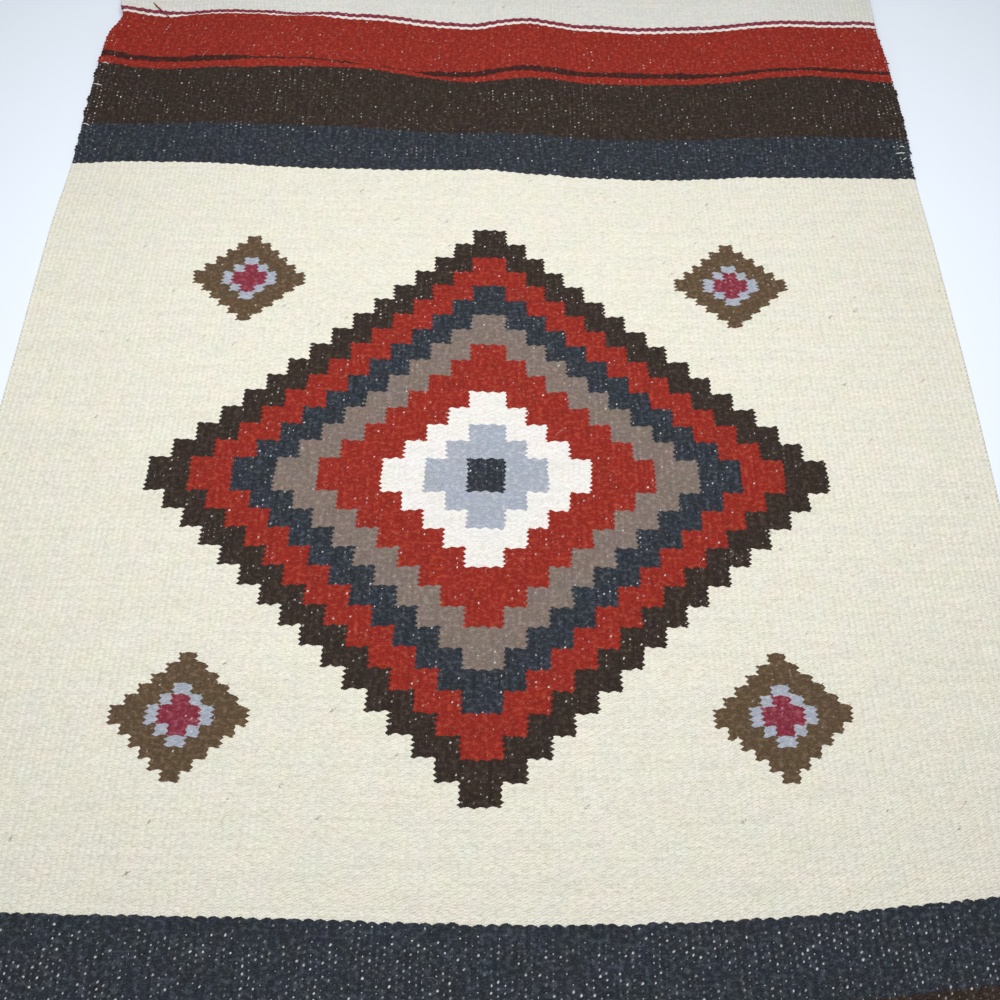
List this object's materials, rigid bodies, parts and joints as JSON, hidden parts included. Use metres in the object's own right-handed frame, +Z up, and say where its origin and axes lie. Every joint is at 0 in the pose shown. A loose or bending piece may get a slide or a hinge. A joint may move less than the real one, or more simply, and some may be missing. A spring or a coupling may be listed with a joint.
{
  "type": "woven rug",
  "caption": "Flat-woven rectangular wool rug lying on the floor, with striped ends, a stepped medallion on a plain field and a few soft ripples.",
  "frame": {"origin": "on the floor, under the middle of the rug's box", "axes": "+X across the rug, +Y along it towards the rippled end, +Z up out of its face"},
  "size_m": [0.8, 1.516, 0.0189],
  "materials": {
    "wool_weave": "matte, weft-faced wool weave"
  },
  "bodies": {
    "root": {"rug": "wool_weave"}
  },
  "joints": []
}
